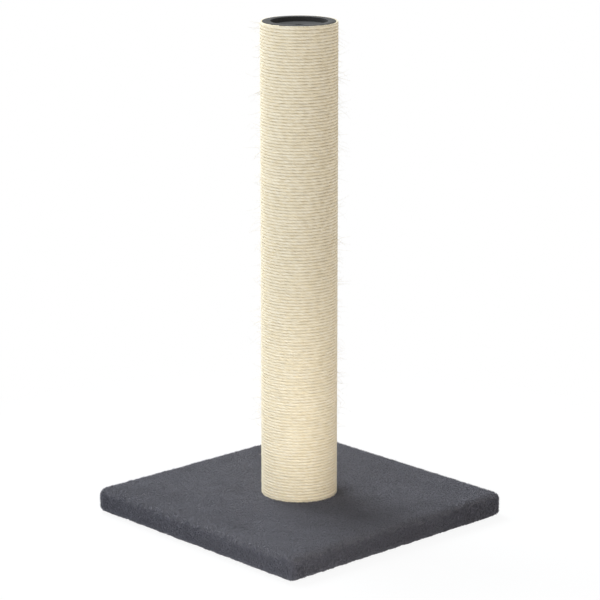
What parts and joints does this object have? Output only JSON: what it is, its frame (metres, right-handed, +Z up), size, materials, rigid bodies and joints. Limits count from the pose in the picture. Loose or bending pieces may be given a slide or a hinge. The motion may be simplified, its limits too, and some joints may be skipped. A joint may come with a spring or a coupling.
{
  "type": "cat scratching post",
  "caption": "Upright scratching post: a tube wound with sisal rope, closed by recessed caps with captive nuts, bolted onto a square plush-covered board.",
  "frame": {"origin": "on the floor, under the middle of the base and of the post", "axes": "+Z up along the post, X and Y along the sides of the square base"},
  "size_m": [0.3, 0.3, 0.52],
  "materials": {
    "chipboard": "raw pressed chips",
    "plush": "short dark grey pile",
    "steel_wire": "bright wire",
    "zinc_steel": "zinc plated",
    "cap_plastic": "moulded, fine satin",
    "tube_board": "spirally wound board",
    "sisal": "twisted natural fibre"
  },
  "bodies": {
    "root": {"base_board": "chipboard", "base_cover": "plush", "cover_staples": "steel_wire", "bolt_washer": "zinc_steel", "base_bolt": "zinc_steel", "lower_end_cap": "cap_plastic", "lower_cap_nut": "zinc_steel", "post_tube": "tube_board", "upper_end_cap": "cap_plastic", "upper_cap_nut": "zinc_steel", "sisal_rope_end_turns": "sisal", "sisal_rope_middle_turns": "sisal", "rope_staples": "steel_wire"}
  },
  "joints": []
}
